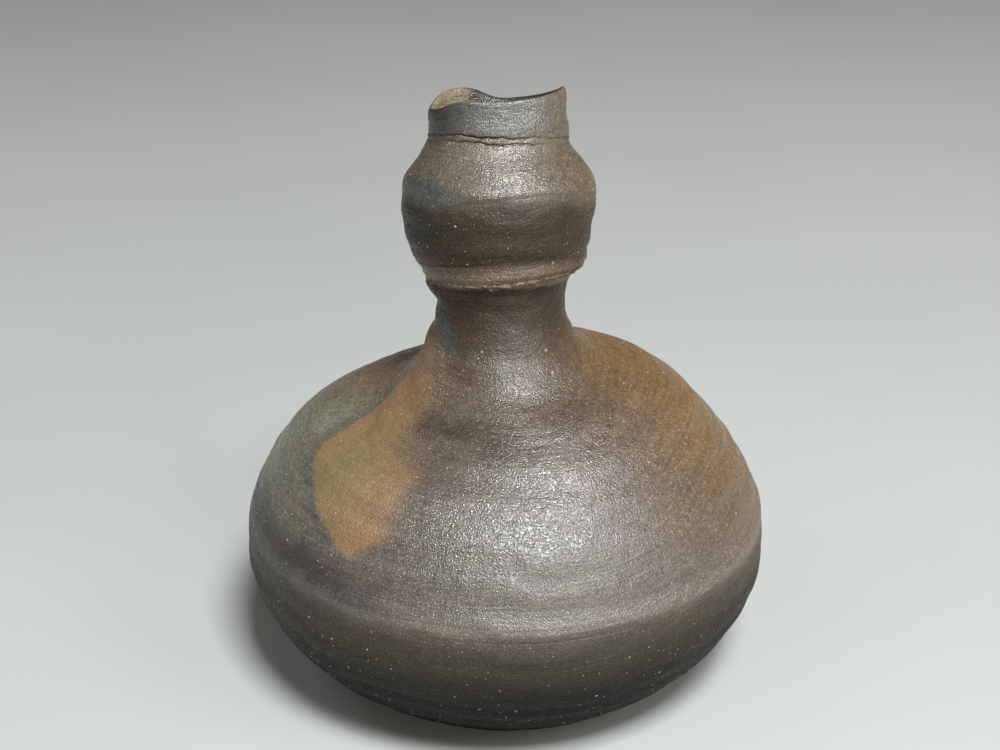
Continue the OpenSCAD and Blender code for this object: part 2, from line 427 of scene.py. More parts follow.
def turned(name, *runs, poles=False):
    """A piece turned from runs of a section. With poles, both its ends lie on the axis."""
    section = np.vstack(runs)
    angle = np.arange(AROUND) * 2 * math.pi / AROUND
    radius, spin = np.meshgrid(section[:, 0], angle, indexing="ij")
    height = np.repeat(section[:, 1:2], AROUND, axis=1)
    points, out, axis = place(radius, height, spin)
    outward = section[:, 3, None, None] * out + section[:, 4, None, None] * axis
    turn = np.stack([np.cos(spin), np.sin(spin), settle(radius, height, spin)[1]], axis=-1)
    skin = np.repeat(section[:, 2:3], AROUND, axis=1)
    bore = np.repeat(section[:, 5:6], AROUND, axis=1)
    wear = np.stack([crevice(height, spin), bore, 0 * bore], axis=-1)
    faces = ring_faces(len(section), closed=not poles)
    kept = np.arange(radius.size)
    if poles:
        merged = kept.copy()
        merged[:AROUND] = 0
        merged[-AROUND:] = radius.size - AROUND
        kept, inverse = np.unique(merged, return_inverse=True)
        faces = inverse[faces]
    name = "clay_" + name
    mesh = bpy.data.meshes.new(name)
    # A face beside a pole has that corner twice, and becomes a triangle
    rows = [list(dict.fromkeys(face)) for face in faces.tolist()]
    mesh.from_pydata(points.reshape(-1, 3)[kept], [], rows)
    add_points_attribute(mesh, "outward", outward.reshape(-1, 3)[kept])
    add_points_attribute(mesh, "turn", turn.reshape(-1, 3)[kept])
    add_points_attribute(mesh, "wear", wear.reshape(-1, 3)[kept])
    add_points_attribute(mesh, "skin", skin.ravel()[kept])
    mesh.polygons.foreach_set("use_smooth", np.ones(len(mesh.polygons), bool))
    piece = bpy.data.objects.new(name, mesh)
    bpy.context.scene.collection.objects.link(piece)
    print(f"{name}: {len(section)} rings, {len(mesh.polygons)} faces")
    return piece


# %% [markdown]
# # The pieces of the belly
# The potter pounds out a slab, lutes the lower bowl on it, presses a coil into the inner corner,
# and sets the upper half, thrown as a second bowl, on top. The joint is dressed with slip outside.

# %% Base slab and base coil
FOOT_EDGE = 0.8
UNDER_LIFT = 0.35
# The underside takes a tenth of the marks, so that the bottle still stands flat
UNDER_SKIN = 0.1
wall_foot = np.array([radius_at(SLAB_TOP) - 1.4 * BELLY_WALL, SLAB_TOP])
wall_heel = moved_in(stretch(SLAB_TOP + BELLY_WALL, BELLY_JOINT), BELLY_WALL)[0]


def make_base_slab():
    under = evenly([[0, UNDER_LIFT], [FOOT_RADIUS - FOOT_EDGE, 0.05]], 0.5)
    edge = [[FOOT_RADIUS - 0.3, 0.15], [FOOT_RADIUS + 0.3, 0.4]]
    inside_top = [[wall_foot[0], SLAB_TOP], [20, SLAB_TOP], [0, SLAB_TOP]]
    return turned("base_slab", run(under, skin=UNDER_SKIN, outward=[0, -1]), run(edge),
                  shown(0.8, SLAB_TOP), run(inside_top), poles=True)


def make_base_coil():
    reach = wall_foot - [3.4, 0]
    top = wall_foot + 0.4 * (wall_heel - wall_foot)
    hollow = [top + [-1.2, -0.5], (top + reach) / 2 + [0.4, -0.1], reach + [1.0, 0.8]]
    return turned("base_coil", run([wall_foot, top]), run(hollow), run([reach]))


print(f"slab and wall meet inside at radius {wall_foot[0]:.1f}")


# %% Lower bowl, upper bowl and the slip over their joint
SEAM_HALF = 1.5
GROOVE = 1.6
groove_low = BELLY_JOINT - SEAM_HALF
groove_high = BELLY_JOINT + SEAM_HALF
groove_floor = moved_in(stretch(BELLY_JOINT, groove_high), GROOVE)[0]


def make_lower_bowl():
    return turned("lower_bowl", shown(SLAB_TOP, groove_low), run([groove_floor]),
                  hidden_wall(SLAB_TOP + BELLY_WALL, BELLY_JOINT, BELLY_WALL), run([wall_foot]))


def make_belly_seam():
    return turned("belly_seam", shown(groove_low, groove_high, FINER), run([groove_floor]))


def make_shoulder_dome():
    return turned("shoulder_dome", run([groove_floor]), shown(groove_high, SHOULDER_JOINT),
                  hidden_wall(BELLY_JOINT, SHOULDER_JOINT, BELLY_WALL))


print(f"the slip fills a groove from {groove_low:.1f} to {groove_high:.1f}")

# %% [markdown]
# # The pieces of the head
# The neck is drawn in from the shoulder. A coil on top of it flares out again to carry the bulb,
# which sits over it like a cap. Its lower edge overhangs, and slip fills the corner under it.
# The collar stands on one more coil, and its rim was left as the fingers made it.

# %% Neck and flare
def make_neck():
    return turned("neck", shown(SHOULDER_JOINT, BEND_HEIGHT, 0.3),
                  hidden_wall(SHOULDER_JOINT, BEND_HEIGHT, HEAD_WALL))


def make_neck_flare():
    return turned("neck_flare", shown(BEND_HEIGHT, BULB_JOINT, 0.25),
                  hidden_wall(BEND_HEIGHT, BULB_JOINT, HEAD_WALL))


print(f"the neck is {2 * WAIST_RADIUS:.1f} wide at the waist")

# %% Bulb, with its overhanging lower edge
SKIRT = [[15.6, BULB_JOINT], [16.3, BULB_JOINT + 0.35], [16.95, BULB_JOINT + 0.9],
         [17.3, BULB_JOINT + 1.6], [17.35, BULB_JOINT + 2.4], [17.3, BULB_JOINT + 3.2],
         [17.45, BULB_JOINT + 4.0], [17.8, BULB_JOINT + 4.9]]
SKIRT_TOP = BULB_JOINT + 6.4


def make_upper_bulb():
    skirt = evenly(SKIRT + [[radius_at(SKIRT_TOP), SKIRT_TOP]], FINER)
    return turned("upper_bulb", run(skirt, skin=1.0), shown(SKIRT_TOP, BULB_TOP - 1, 0.3)[1:],
                  shown(BULB_TOP - 1, BULB_TOP, FINER)[1:],
                  hidden_wall(BULB_JOINT, BULB_TOP, HEAD_WALL))


def make_neck_seam():
    """Slip in the corner, a fat bead that a later step makes lumpy."""
    bead = [[radius_at(BULB_JOINT - 1.3) - 0.25, BULB_JOINT - 1.3],
            [radius_at(BULB_JOINT - 0.9) + 0.35, BULB_JOINT - 0.95],
            [16.1, BULB_JOINT - 0.6], [16.75, BULB_JOINT + 0.05], [16.75, BULB_JOINT + 0.65],
            [16.3, BULB_JOINT + 0.9]]
    behind = [[15.6, BULB_JOINT + 0.1], [radius_at(BULB_JOINT - 0.8) - 0.4, BULB_JOINT - 0.8]]
    return turned("neck_seam", run(evenly(bead, FINER), skin=1.0), run(behind))


print(f"the edge of the bulb overhangs from {BULB_JOINT:.1f} to {SKIRT_TOP:.1f}")


# %% Collar coil and mouth collar
def make_collar_coil():
    lower = moved_in(stretch(BULB_TOP - 1, BULB_TOP), HEAD_WALL)[-1]
    return turned("collar_coil", shown(BULB_TOP, COIL_TOP, 0.12),
                  run([[MOUTH_RADIUS, COIL_TOP - 0.4], lower]))


def make_mouth_collar():
    lip = [[LIP_RADIUS, RIM - 0.7], [LIP_RADIUS - 0.08, RIM - 0.3], [LIP_RADIUS - 0.28, RIM - 0.06],
           [LIP_RADIUS - 0.6, RIM], [LIP_RADIUS - 1.0, RIM - 0.15], [LIP_RADIUS - 1.4, RIM - 0.6],
           [LIP_RADIUS - 1.7, RIM - 1.4], [MOUTH_RADIUS, RIM - 2.6]]
    bore = evenly([[MOUTH_RADIUS, RIM - 2.6], [MOUTH_RADIUS, COIL_TOP - 0.4]], 0.4)[1:]
    return turned("mouth_collar", shown(COIL_TOP, RIM - 0.7, FINER)[:-1],
                  run(evenly(lip[:3], FINER), skin=1.0),
                  run(evenly(lip[2:], FINER)[1:], skin=1.0, bore=1.0),
                  run(bore, skin=1.0, bore=1.0))


print(f"the mouth is {2 * MOUTH_RADIUS:.1f} wide")

# %% [markdown]
# # A short way to write node trees
# Node trees make the marks in the clay and its colours. Adding each node and each link takes a
# line of its own, and hides what a tree does. This small class adds a node and joins its inputs
# in one go, so a tree reads like a sum. It serves trees for geometry and for materials.

# %% A short way to write node trees
class Tree:
    """Adds nodes by name and joins them, for shading and for geometry alike."""

    def __init__(self, tree):
        self.tree = tree

    def node(self, kind, inputs=None, **settings):
        made = self.tree.nodes.new(kind)
        for key, value in settings.items():
            setattr(made, key, value)
        for key, value in (inputs or {}).items():
            self.feed(made.inputs[key], value)
        return made

    def feed(self, socket, value):
        if isinstance(value, bpy.types.NodeSocket):
            self.tree.links.new(value, socket)
        else:
            socket.default_value = value

    def math(self, how, *values):
        made = self.node("ShaderNodeMath", operation=how)
        for socket, value in zip(made.inputs, values):
            self.feed(socket, value)
        return made.outputs[0]

    def vector(self, how, *values):
        made = self.node("ShaderNodeVectorMath", operation=how)
        sockets = [made.inputs["Scale"] if how == "SCALE" and k == 1 else made.inputs[k]
                   for k in range(len(values))]
        for socket, value in zip(sockets, values):
            self.feed(socket, value)
        return made.outputs["Value"] if how in ("LENGTH", "DISTANCE") else made.outputs[0]

    def join(self, x, y, z):
        return self.node("ShaderNodeCombineXYZ", {0: x, 1: y, 2: z}).outputs[0]

    def split(self, vector):
        return self.node("ShaderNodeSeparateXYZ", {0: vector}).outputs

    def noise(self, where, scale, detail=2.0, rough=0.5):
        return self.node("ShaderNodeTexNoise", {"Vector": where, "Scale": scale, "Detail": detail,
                                                "Roughness": rough}).outputs[0]

    def cells(self, where, scale):
        """Distance to the nearest of many scattered points, and that point's own random colour."""
        made = self.node("ShaderNodeTexVoronoi", {"Vector": where, "Scale": scale})
        return made.outputs["Distance"], made.outputs["Color"]

    def total(self, *values):
        result = values[0]
        for value in values[1:]:
            result = self.math("ADD", result, value)
        return result

    def times(self, *values):
        result = values[0]
        for value in values[1:]:
            result = self.math("MULTIPLY", result, value)
        return result

    def centred(self, value):
        """A noise from 0 to 1, shifted to run from -1 to 1."""
        return self.math("MULTIPLY_ADD", value, 2.0, -1.0)

    def smooth(self, value, low, high, bottom=0.0, top=1.0):
        """A value eased from bottom to top while another runs from low to high."""
        made = self.node("ShaderNodeMapRange", interpolation_type="SMOOTHSTEP")
        for label, number in (("Value", value), ("From Min", low), ("From Max", high),
                              ("To Min", bottom), ("To Max", top)):
            self.feed(made.inputs[label], number)
        return made.outputs[0]

    def band(self, value, low, high, soft):
        """1 between low and high, 0 outside, with soft ends."""
        rise = self.smooth(value, low - soft, low + soft)
        return self.times(rise, self.smooth(value, high - soft, high + soft, 1.0, 0.0))

    def mix(self, factor, first, second):
        made = self.node("ShaderNodeMix", {0: factor, 6: first, 7: second}, data_type="RGBA")
        return made.outputs[2]


print("a tree can:", ", ".join(name for name in vars(Tree) if not name.startswith("_")))


# %% The start and the end of a geometry tree
def new_geometry_tree(name, sizes):
    """A geometry tree with a named float input for each size, and its in and out sockets."""
    tree = bpy.data.node_groups.new(name, "GeometryNodeTree")
    tree.interface.new_socket("Geometry", in_out="INPUT", socket_type="NodeSocketGeometry")
    for label, value in sizes.items():
        socket = tree.interface.new_socket(label, in_out="INPUT", socket_type="NodeSocketFloat")
        socket.default_value = value
    tree.interface.new_socket("Material", in_out="INPUT", socket_type="NodeSocketMaterial")
    tree.interface.new_socket("Geometry", in_out="OUTPUT", socket_type="NodeSocketGeometry")
    t = Tree(tree)
    given = t.node("NodeGroupInput").outputs
    result = t.node("NodeGroupOutput").inputs
    return t, given, result


def carried(t, label, kind="FLOAT"):
    """A value that the points of a piece carry under a name."""
    return t.node("GeometryNodeInputNamedAttribute", {"Name": label}, data_type=kind).outputs[0]


def moved_by(t, given, offset):
    """The piece with each point moved by its own offset."""
    return t.node("GeometryNodeSetPosition", {"Geometry": given["Geometry"], "Offset": offset})


def end_tree(t, given, result, last):
    """Every geometry tree ends alike: instances are made real, and get the material."""
    real = t.node("GeometryNodeRealizeInstances", {0: last.outputs[0]})
    dressed = t.node("GeometryNodeSetMaterial", {"Geometry": real.outputs[0],
                                                 "Material": given["Material"]})
    t.feed(result["Geometry"], dressed.outputs[0])
    print(f"{t.tree.name}: {len(t.tree.nodes)} nodes")
    return t.tree


# %% Run a geometry tree on a piece
SHARP = math.radians(55)


def apply_tree(piece, tree, name=None, **values):
    """Runs a tree on a piece. The plain mesh goes back into it, or into a new named object."""
    modifier = piece.modifiers.new(tree.name, "NODES")
    modifier.node_group = tree
    sockets = {item.name: item.identifier for item in tree.interface.items_tree
               if item.in_out == "INPUT"}
    for label, value in values.items():
        modifier[sockets[label.replace("_", " ").capitalize()]] = value
    graph = bpy.context.evaluated_depsgraph_get()
    mesh = bpy.data.meshes.new_from_object(piece.evaluated_get(graph), depsgraph=graph)
    piece.modifiers.remove(modifier)
    mesh.set_sharp_from_angle(angle=SHARP)
    if name is None:
        old = piece.data
        piece.data = mesh
        bpy.data.meshes.remove(old)
        mesh.name = piece.name
        return piece
    mesh.name = name
    made = bpy.data.objects.new(name, mesh)
    bpy.context.scene.collection.objects.link(made)
    return made


print(f"an edge is kept sharp where its faces turn by more than {math.degrees(SHARP):.0f} degrees")

# %% [markdown]
# # Throwing marks
# Fingers leave a slow spiral on the clay, and the grit under them leaves close lines round it. Both
# repeat by rule, so Geometry Nodes make them: the tree reads where each point lies on the wheel
# and pushes the skin in or out. Sculpting them by hand would take hours and repeat itself badly.

# %% The tree for throwing marks
SPIRAL_WAVER = 0.6
SPIRAL_STRENGTH = 1.6


def throwing_marks_tree():
    sizes = {"Turn height": 5.8, "Turn depth": 0.16, "Line depth": 0.05, "Waver depth": 0.3,
             "Lump size": 3.0, "Lump depth": 0.06, "Seed": 1.0}
    t, given, result = new_geometry_tree("throwing_marks", sizes)
    turn = carried(t, "turn", "FLOAT_VECTOR")
    outward = carried(t, "outward", "FLOAT_VECTOR")
    skin = carried(t, "skin")
    cos, sin, height = t.split(turn)
    place_mm = t.vector("SCALE", t.node("GeometryNodeInputPosition").outputs[0], 1 / MM)
    seeded = t.vector("ADD", place_mm, t.join(given["Seed"], 0.0, 0.0))
    angle = t.math("DIVIDE", t.math("ARCTAN2", sin, cos), 2 * math.pi)
    waver = t.centred(t.noise(seeded, 0.045, 1.0))
    turns = t.math("DIVIDE", height, given["Turn height"])
    climb = t.total(turns, angle, t.times(waver, SPIRAL_WAVER))
    spiral = t.math("SINE", t.times(climb, 2 * math.pi))
    strength = t.math("MULTIPLY", t.noise(seeded, 0.06, 1.0), SPIRAL_STRENGTH)
    spiral = t.times(spiral, strength, given["Turn depth"])
    around = t.join(t.times(cos, 1.6), t.times(sin, 1.6), t.times(height, 1.4))
    lines = t.times(t.centred(t.noise(around, 1.0, 3.0, 0.6)), given["Line depth"], 2.0)
    sway = t.times(waver, given["Waver depth"])
    lump_scale = t.math("DIVIDE", 1.0, given["Lump size"])
    lumps = t.times(t.centred(t.noise(seeded, lump_scale, 2.0, 0.55)), given["Lump depth"], 2.0)
    push = t.times(t.total(spiral, lines, sway, lumps), skin, MM)
    return end_tree(t, given, result, moved_by(t, given, t.vector("SCALE", outward, push)))


throwing_marks = throwing_marks_tree()

# %% [markdown]
# # The marks of the cord under the foot
# The finished bottle was cut from the wheel with a twisted cord. It leaves a fan of arcs under the
# foot, all round one point outside it. Geometry Nodes raise them: each point of the underside
# moves up, never down, by its distance from that point, so the bottle still stands flat. Cutting
# grooves with a boolean would need a tool shape for each arc.

# %% The tree for cord marks
CORD_CENTRE = (-34.0, 26.0, 0.0)
CORD_WAVER = 1.6
UNDERSIDE_TOP = 0.6
EDGE_FADE = 3.0


def cord_marks_tree():
    sizes = {"Spacing": 2.6, "Depth": 0.22, "Edge": 33.0}
    t, given, result = new_geometry_tree("cord_marks", sizes)
    place_mm = t.vector("SCALE", t.node("GeometryNodeInputPosition").outputs[0], 1 / MM)
    flat = t.vector("MULTIPLY", place_mm, (1.0, 1.0, 0.0))
    waver = t.times(t.noise(flat, 0.12, 1.0), CORD_WAVER)
    reach = t.math("ADD", t.vector("DISTANCE", flat, CORD_CENTRE), waver)
    arc = t.math("SINE", t.math("DIVIDE", t.times(reach, 2 * math.pi), given["Spacing"]))
    raised = t.times(t.math("MULTIPLY_ADD", arc, 0.5, 0.5), given["Depth"])
    underside = t.math("LESS_THAN", t.split(place_mm)[2], UNDERSIDE_TOP)
    from_edge = t.math("SUBTRACT", given["Edge"], t.vector("LENGTH", flat))
    lift = t.times(raised, underside, t.smooth(from_edge, 0.0, EDGE_FADE), MM)
    return end_tree(t, given, result, moved_by(t, given, t.join(0.0, 0.0, lift)))


cord_marks = cord_marks_tree()

# %% [markdown]
# # Grit
# The clay is coarse. Grains of feldspar and sand stand a little out of the skin, some of them pale.
# Nearly two thousand of them lie at random, so Geometry Nodes scatter one small rounded grain over
# the skin, each with its own turn and size, sunk to about half. Modelling each grain would be
# endless, and a bump in the material alone would leave the outline smooth.

# %% The tree for grit
CM2_PER_M2 = 1e4
FULL_SKIN = 0.99
GRAIN_RADIUS = 0.5
GRAIN_WIDTH = 0.75
MOSTLY_SMALL = 3.0


def grit_tree():
    sizes = {"Grains per cm2": 20.0, "Smallest": 0.25, "Largest": 0.6, "Flatness": 0.45,
             "Seed": 1.0}
    t, given, result = new_geometry_tree("grit", sizes)
    seed = t.node("FunctionNodeFloatToInt", {0: given["Seed"]}).outputs[0]
    density = t.math("MULTIPLY", given["Grains per cm2"], CM2_PER_M2)
    on_skin = t.node("FunctionNodeCompare", {0: carried(t, "skin"), 1: FULL_SKIN},
                     operation="GREATER_EQUAL").outputs[0]
    spread = t.node("GeometryNodeDistributePointsOnFaces",
                    {"Mesh": given["Geometry"], "Density": density, "Seed": seed,
                     "Selection": on_skin})
    grain = t.node("GeometryNodeMeshIcoSphere", {"Radius": GRAIN_RADIUS * MM, "Subdivisions": 2})
    smooth = t.node("GeometryNodeSetShadeSmooth", {0: grain.outputs[0]})
    draw = t.node("FunctionNodeRandomValue", {2: 0.0, 3: 1.0, "Seed": seed},
                  data_type="FLOAT").outputs[1]
    size = t.math("MULTIPLY_ADD", t.math("POWER", draw, MOSTLY_SMALL),
                  t.math("SUBTRACT", given["Largest"], given["Smallest"]), given["Smallest"])
    spin = t.node("FunctionNodeRandomValue", {2: 0.0, 3: 2 * math.pi, "Seed": seed},
                  data_type="FLOAT").outputs[1]
    about_up = t.node("FunctionNodeAxisAngleToRotation", {0: (0.0, 0.0, 1.0), 1: spin})
    turned_grain = t.node("FunctionNodeRotateRotation",
                          {0: spread.outputs["Rotation"], 1: about_up.outputs[0]},
                          rotation_space="LOCAL").outputs[0]
    scale = t.join(size, t.math("MULTIPLY", size, GRAIN_WIDTH), t.times(size, given["Flatness"]))
    grains = t.node("GeometryNodeInstanceOnPoints",
                    {"Points": spread.outputs["Points"], "Instance": smooth.outputs[0],
                     "Rotation": turned_grain, "Scale": scale})
    return end_tree(t, given, result, grains)


grit = grit_tree()

# %% [markdown]
# # Fired clay
# Nothing was painted on this bottle: one wood fire coloured all of it. So one rule colours every
# piece, from its height and its bearing round the wheel (0 is the front, +90 the right side).
# Ramps give the clay's colour, roughness and shine by height. Near the foot the colour ramp also
# holds painted shade, and at the slip under the bulb a painted highlight. Over them lie the marks
# of the
# fire: ash on the shoulder and dark licks of smoke, each a soft-edged spot, and an ochre flash with
# a sharp lower edge. Three spots among them are painted light instead: shade on the left of the
# collar and low on the left of the belly, and a blue reflection on the bulb. The crevices and the
# inside of the mouth are painted with shade and light too. A picture wrapped round the bottle would
# show its grain when enlarged; these stay sharp at any distance.

# %% Colours by height
def paint(red, green, blue):
    """A screen colour, 0 to 255, as the linear colour that shaders need."""
    def linear(c):
        c /= 255
        return c / 12.92 if c <= 0.04045 else ((c + 0.055) / 1.055) ** 2.4
    return (linear(red), linear(green), linear(blue), 1.0)


# Below the belly's joint the ramp darkens towards the foot: the clay is dark there, and made darker
# still as painted shade where the belly faces down.
CLAY_BY_HEIGHT = [(0, (12, 11, 9)), (18, (16, 14, 11)), (25, (38, 32, 23)), (32, (54, 45, 33)),
                  (34.6, (70, 60, 49)), (36.2, (98, 88, 77)), (39, (86, 77, 68)),
                  (50, (82, 72, 63)), (64, (82, 68, 57)), (72, (76, 62, 49)), (80, (52, 39, 25)),
                  # From 87.8 to 90 mm the slip's crest under the bulb is pale slip, with a painted
                  # highlight where it catches the light.
                  (86.9, (46, 34, 21)), (87.8, (112, 98, 78)), (90, (88, 73, 57)),
                  (93, (52, 39, 25)), (103, (50, 37, 23)), (106, (82, 70, 58)),
                  (112, (92, 79, 66)), (117, (98, 87, 74)), (117.6, (78, 73, 66)),
                  (125, (92, 87, 80))]
# How rough the skin is at each height: matt below the belly's widest ring, glossy above it
ROUGH_BY_HEIGHT = [(0, 0.7), (28, 0.6), (33, 0.5), (37, 0.38), (45, 0.39), (50, 0.34), (68, 0.36),
                   (80, 0.46), (87, 0.46), (89, 0.38), (93, 0.46), (103, 0.46), (106, 0.36),
                   (125, 0.32)]
# How strongly it mirrors the light: a fly-ash glaze on the upper side, bare clay near the foot
SHINE_BY_HEIGHT = [(0, 0.08), (18, 0.15), (28, 0.35), (34, 0.55), (36.5, 0.9), (44, 0.75),
                   (50, 0.95), (66, 0.9), (73, 0.7), (79, 0.5), (86.9, 0.35), (88.5, 0.8),
                   (91, 0.5), (93, 0.35), (102, 0.35), (106, 0.85), (117, 0.8), (118, 1.0)]
print(len(CLAY_BY_HEIGHT), "clay colours by height")

# %% Marks of the fire, and spots of painted light
# Each mark: colour, bearing, half its width in degrees, height, half its height in mm, softness
FIRE_AND_PAINTED_LIGHT_MARKS = {
    "ash on the left shoulder": ((100, 95, 79), -100, 48, 50, 14, 0.4),
    "pale ash beside the flash": ((118, 116, 99), -90, 12, 47, 8, 0.9),
    "warm right shoulder": ((122, 92, 55), 112, 46, 56, 19, 0.98),
    "brown behind the ash": ((102, 81, 57), -120, 36, 65, 6, 0.8),
    "peach tail of the flash": ((122, 97, 74), -64, 20, 68.5, 5, 0.8),
    "warm back": ((118, 90, 62), 178, 60, 50, 26, 0.7),
    "brown lick above the highlight": ((60, 48, 35), -16, 24, 63.5, 1.8, 0.8),
    "smoke low on the left": ((52, 46, 45), -48, 17, 40, 3.4, 0.95),
    # Painted shade: the lower left of the belly, turned away from the light, darkened in its colour
    "painted shade low on the left": ((46, 39, 33), -78, 30, 36, 6, 0.9),
    # Painted reflection: a cool light from the left, seen in the bulb, painted as a blue-grey spot
    "painted blue reflection on the bulb": ((62, 69, 70), -50, 22, 107, 2.6, 0.9),
    "blue smoke on the neck": ((62, 65, 61), -54, 12, 77, 3, 0.9),
    "tan on the bulb": ((106, 88, 64), 84, 26, 107, 4.5, 0.8),
    "dark lick on the bulb": ((38, 34, 27), -64, 32, 99, 4, 0.9),
    # Painted shade: the left of the collar, facing away from the light, darkened in its colour
    "painted shade on the left of the collar": ((40, 39, 34), -70, 36, 121, 5, 0.7),
    "brown side of the collar": ((98, 85, 66), 78, 30, 121, 6, 0.9),
}
# Three of these are painted light, not marks of the fire: two of shade and one of reflection
print(len(FIRE_AND_PAINTED_LIGHT_MARKS), "marks of the fire")


# %% A tree that knows where the skin lies
class Skin(Tree):
    """A material's tree with the place of each point: in mm, round the wheel, and up it."""

    def __init__(self, tree):
        super().__init__(tree)
        self.mm = self.vector("SCALE", self.node("ShaderNodeTexCoord").outputs["Object"], 1 / MM)
        self.cos, self.sin, self.height = self.carried("turn")
        bearing = self.math("ARCTAN2", self.cos, self.math("MULTIPLY", self.sin, -1.0))
        self.bearing = self.math("MULTIPLY", bearing, 180 / math.pi)
        self.waver = self.patches(self.mm)
        self.other_waver = self.patches(self.vector("ADD", self.mm, (70.0, 0.0, 0.0)))
        # The same places, loosened, so that no edge of a mark is a ruled line
        self.loose_bearing = self.math("MULTIPLY_ADD", self.waver, 14.0, self.bearing)
        self.loose_height = self.math("MULTIPLY_ADD", self.other_waver, 5.0, self.height)
        self.near_height = self.math("MULTIPLY_ADD", self.other_waver, 1.6, self.height)

    def carried(self, label):
        """The three values that the points carry under a name."""
        return self.split(self.node("ShaderNodeAttribute", attribute_name=label).outputs["Vector"])

    def patches(self, where):
        """Broad patches, about 11 mm across, from -1 to 1."""
        return self.centred(self.noise(where, 0.09, 3.0, 0.55))


def new_material(name, kind=Tree):
    """A material with an empty tree, and that tree."""
    material = bpy.data.materials.new(name)
    material.use_nodes = True
    material.node_tree.nodes.clear()
    return material, kind(material.node_tree)


def end_material(t, name, inputs):
    """Every material ends alike, in one shader."""
    shader = t.node("ShaderNodeBsdfPrincipled", inputs)
    t.node("ShaderNodeOutputMaterial", {"Surface": shader.outputs[0]})
    print(f"{name}: {len(t.tree.nodes)} nodes")


# %% Ramps and spots
RAMP_TOP = 130.0
BEHIND = 150
STRAY = 3


def by_height(t, levels):
    """A ramp up the bottle, from pairs of a height and a colour or a grey value."""
    ramp = t.node("ShaderNodeValToRGB", {0: t.math("DIVIDE", t.near_height, RAMP_TOP)})
    stops = ramp.color_ramp.elements
    for k, (level, tone) in enumerate(levels):
        stop = stops[k] if k < 2 else stops.new(level / RAMP_TOP)
        stop.position = level / RAMP_TOP
        stop.color = paint(*tone) if isinstance(tone, tuple) else (tone, tone, tone, 1.0)
    return ramp.outputs[0]


def spot(t, middle, half_width, level, half_height, soft):
    """A soft-edged spot: 1 inside it, 0 outside. Behind the bottle it measures from the back."""
    if abs(middle) > BEHIND:
        aside = t.math("SUBTRACT", 180.0, t.math("ABSOLUTE", t.bearing))
    else:
        aside = t.math("SUBTRACT", t.loose_bearing, middle)
    across = t.math("DIVIDE", aside, half_width)
    up = t.math("DIVIDE", t.math("SUBTRACT", t.loose_height, level), half_height)
    distance = t.vector("LENGTH", t.join(across, up, 0.0))
    return t.smooth(distance, 1.0 - soft, 1.0 + soft, 1.0, 0.0)


def marked_by_fire_and_painted_light(t, colour, low, high):
    """A colour with all the marks over it that reach between two heights."""
    for tint, middle, wide, level, tall, soft in FIRE_AND_PAINTED_LIGHT_MARKS.values():
        reach = tall * (1 + soft)
        if low - STRAY < level + reach and level - reach < high + STRAY:
            colour = t.mix(spot(t, middle, wide, level, tall, soft), colour, paint(*tint))
    return colour


print(f"a ramp spans {RAMP_TOP:.0f} mm, and a mark counts for a piece up to {STRAY} mm from it")

# %% The ochre flash
# The heights that the flash reaches, a point on its lower edge, and how the edge climbs
FLASH_FROM, FLASH_TO = 40, 70
FLASH_BEARING = -43.0
FLASH_LEVEL = 46.2
FLASH_SLOPE = 0.34
CORNER_LEVEL = 64.9
CORNER_SLOPE = 0.56
FLASH_MATT = 0.22
FLASH_CALM = 0.55
LICK_STRENGTH = 0.35


def flash_edges(t):
    """How far a point lies over the sharp lower edge, and the whole flash from 0 to 1."""
    aside = t.math("ADD", t.bearing, -FLASH_BEARING)
    edge = t.math("MULTIPLY_ADD", aside, FLASH_SLOPE, t.height)
    edge = t.math("SUBTRACT", edge, t.math("MULTIPLY_ADD", t.other_waver, -1.2, FLASH_LEVEL))
    loose_edge = t.math("MULTIPLY_ADD", t.waver, 6.0, edge)
    corner_line = t.math("MULTIPLY_ADD", t.bearing, CORNER_SLOPE, CORNER_LEVEL)
    corner = t.math("SUBTRACT", t.height, corner_line)
    flash = t.times(t.smooth(edge, 0.0, 1.4), t.smooth(loose_edge, 11.0, 20.0, 1.0, 0.0),
                    t.smooth(t.loose_bearing, -36.0, -20.0, 1.0, 0.0),
                    t.smooth(t.loose_bearing, -106.0, -84.0), t.smooth(corner, -1.5, 2.5))
    return edge, flash


def ochre_flash(t, colour, roughness):
    """The flash and the lick of smoke under it. It is matt, and calms the grain inside it."""
    edge, flash = flash_edges(t)
    ochre = t.mix(spot(t, -52, 14, 55.5, 7, 0.9), paint(128, 95, 62), paint(112, 94, 58))
    colour = t.mix(flash, colour, ochre)
    roughness = t.math("MULTIPLY_ADD", flash, FLASH_MATT, roughness)
    lick = t.times(t.smooth(edge, -3.4, -0.6), t.smooth(edge, -0.2, 1.0, 1.0, 0.0),
                   t.band(t.bearing, -100.0, -44.0, 10.0), LICK_STRENGTH)
    colour = t.mix(lick, colour, paint(56, 58, 58))
    return colour, roughness, t.times(flash, FLASH_CALM)


print(f"the flash lies over {FLASH_LEVEL} mm at bearing {FLASH_BEARING:.0f}")

# %% Crevices and the inside of the mouth
COLLAR_FROM = 120
# The bearing round which the inside of the mouth is painted pale, as lit
LIT_MOUTH_BEARING = -114.0


